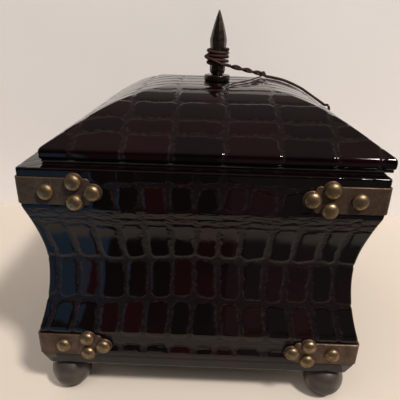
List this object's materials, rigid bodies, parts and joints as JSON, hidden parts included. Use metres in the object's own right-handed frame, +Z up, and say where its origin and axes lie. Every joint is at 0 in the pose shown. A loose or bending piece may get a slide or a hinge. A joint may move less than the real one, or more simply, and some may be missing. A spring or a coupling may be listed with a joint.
{
  "type": "trinket box",
  "caption": "Square waisted trinket box on ball feet, leather covered with nailed corner straps, and a lift-off pyramid lid with a corded spike finial.",
  "frame": {"origin": "centre of the body's footprint, on the surface that the four ball feet stand on", "axes": "+Z up, -Y out of the front, +X to the right seen from the front"},
  "size_m": [0.2466, 0.2424, 0.2813],
  "materials": {
    "board": "raw board",
    "leather": "glossy dark oxblood, embossed in reptile scales",
    "velvet": "short pile",
    "foot": "dark bronze lacquer, glossy",
    "steel": "zinc plated",
    "strap": "dark antique",
    "felt": "pressed felt",
    "finial": "dark aged bronze",
    "cord": "dark waxed twist"
  },
  "bodies": {
    "box": {"base_board": "board", "front_wall": "board", "right_wall": "board", "back_wall": "board", "left_wall": "board", "front_leather": "leather", "right_leather": "leather", "back_leather": "leather", "left_leather": "leather", "front_lining": "velvet", "right_lining": "velvet", "back_lining": "velvet", "left_lining": "velvet", "floor_lining": "velvet", "front_left_ball_foot": "foot", "front_right_ball_foot": "foot", "back_right_ball_foot": "foot", "back_left_ball_foot": "foot", "front_left_foot_screw": "steel", "front_right_foot_screw": "steel", "back_right_foot_screw": "steel", "back_left_foot_screw": "steel", "front_left_upper_strap": "strap", "front_right_upper_strap": "strap", "back_right_upper_strap": "strap", "back_left_upper_strap": "strap", "front_left_lower_strap": "strap", "front_right_lower_strap": "strap", "back_right_lower_strap": "strap", "back_left_lower_strap": "strap"},
    "lid": {"front_lid_panel": "board", "right_lid_panel": "board", "back_lid_panel": "board", "left_lid_panel": "board", "crown_block": "board", "front_lid_leather": "leather", "right_lid_leather": "leather", "back_lid_leather": "leather", "left_lid_leather": "leather", "front_lid_lip": "velvet", "right_lid_lip": "velvet", "back_lid_lip": "velvet", "left_lid_lip": "velvet", "lid_lining": "velvet", "front_lid_felt": "felt", "right_lid_felt": "felt", "back_lid_felt": "felt", "left_lid_felt": "felt", "finial_collar": "finial", "finial_spike": "finial", "finial_washer": "steel", "finial_nut": "steel", "finial_stud": "steel", "cord_winding": "cord", "cord_twisted_pair": "cord", "cord_knot": "cord", "cord_long_end": "cord", "cord_end_knot": "cord", "cord_short_end": "cord"}
  },
  "joints": [
    {"name": "lid_lift", "type": "slide", "parent": "box", "child": "lid", "axis": [0, 0, 1], "range_m": [0, 0.2]}
  ]
}
